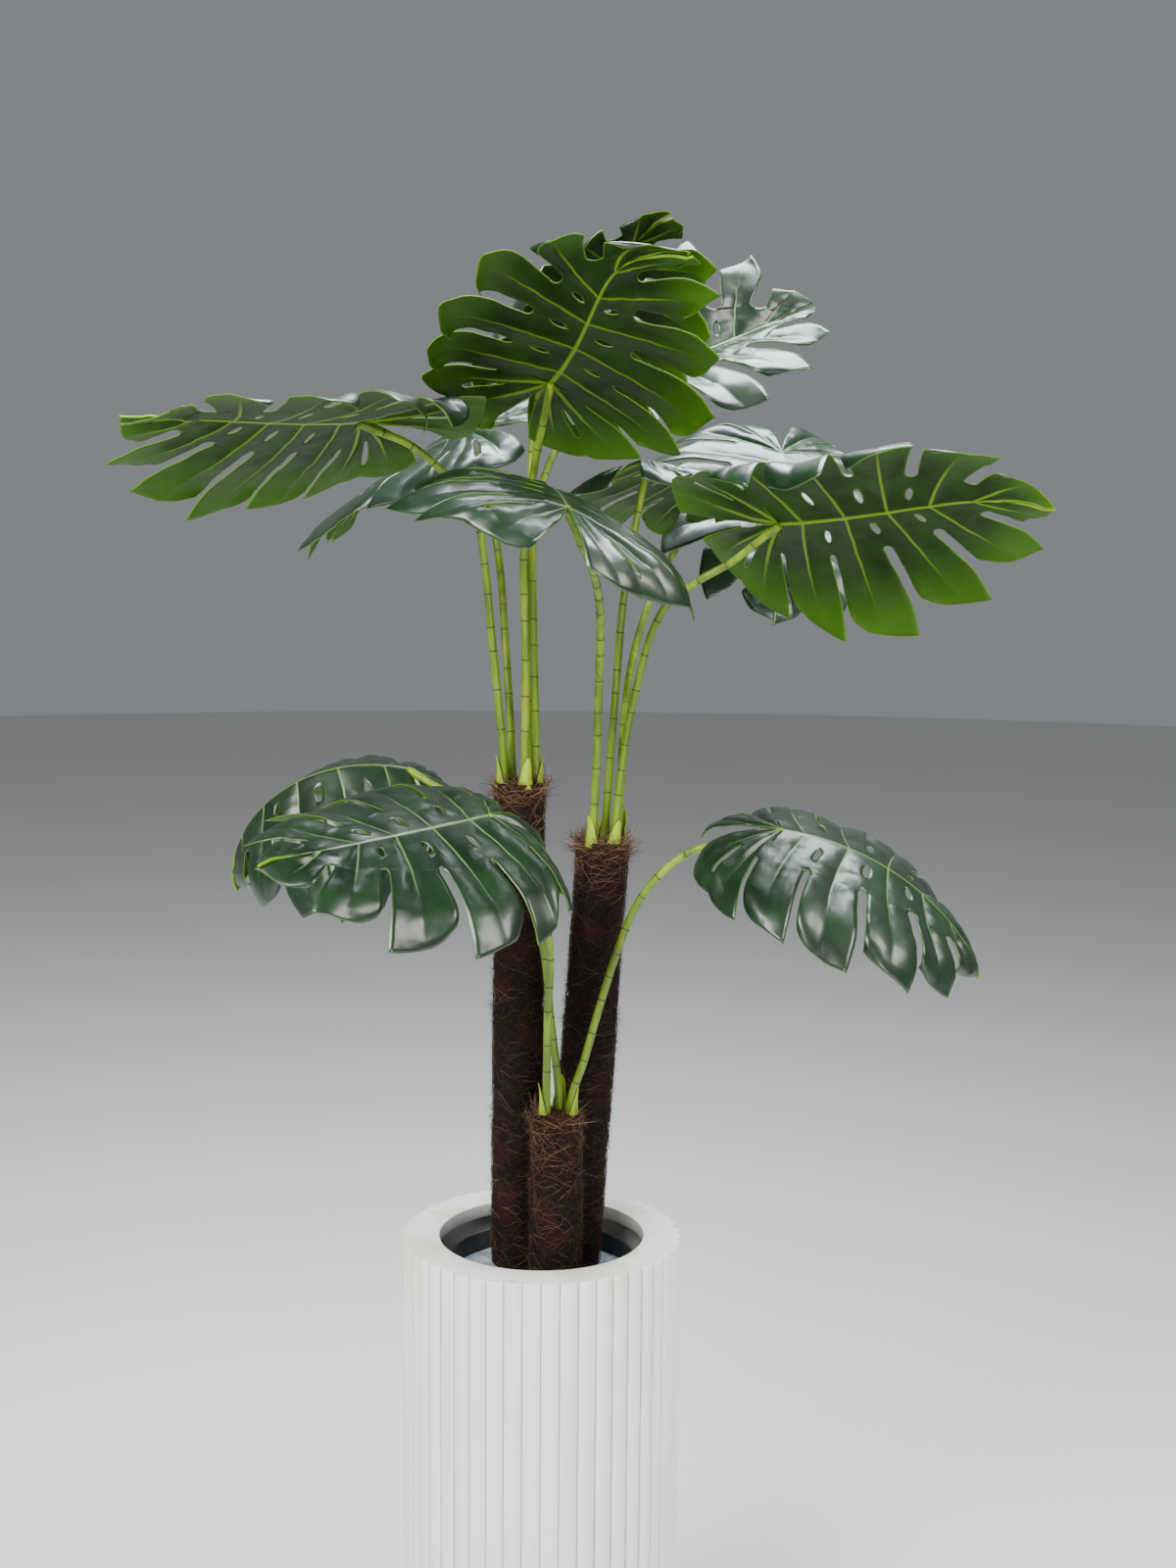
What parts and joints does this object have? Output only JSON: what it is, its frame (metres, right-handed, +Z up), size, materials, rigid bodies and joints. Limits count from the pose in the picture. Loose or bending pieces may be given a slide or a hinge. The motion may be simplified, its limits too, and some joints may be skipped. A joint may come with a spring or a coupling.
{
  "type": "potted monstera",
  "caption": "Artificial monstera with split glossy leaves on jointed green stalks and coir-wrapped trunks, standing in a tall round fluted planter.",
  "frame": {"origin": "middle of the planter's underside, where it stands on the floor", "axes": "+Z up along the planter's axis; -Y towards the viewer of the picture, +X to the viewer's right"},
  "size_m": [1.0512, 1.0256, 2.0082],
  "materials": {
    "planter": "matt off-white cast stone with faint stains",
    "nursery_pot": "matt black",
    "fill": "dry grey hardened fill",
    "coir": "dark red-brown matted coir fibre",
    "stalk": "satin yellow-green with dark joint rings",
    "blade": "glossy dark green with pale veins, lighter underside"
  },
  "bodies": {
    "root": {"planter": "planter", "nursery_pot": "nursery_pot", "fill": "fill", "trunk_left": "coir", "trunk_right": "coir", "trunk_front": "coir", "petiole_top_front": "stalk", "petiole_top_back": "stalk", "petiole_upper_right": "stalk", "petiole_left_front": "stalk", "petiole_left_back": "stalk", "petiole_middle_front": "stalk", "petiole_right_front": "stalk", "petiole_middle_back": "stalk", "petiole_right_back": "stalk", "petiole_low_left": "stalk", "petiole_low_left_back": "stalk", "petiole_low_right": "stalk", "blade_top_front": "blade", "blade_top_back": "blade", "blade_upper_right": "blade", "blade_left_front": "blade", "blade_left_back": "blade", "blade_middle_front": "blade", "blade_right_front": "blade", "blade_middle_back": "blade", "blade_right_back": "blade", "blade_low_left": "blade", "blade_low_left_back": "blade", "blade_low_right": "blade"}
  },
  "joints": []
}
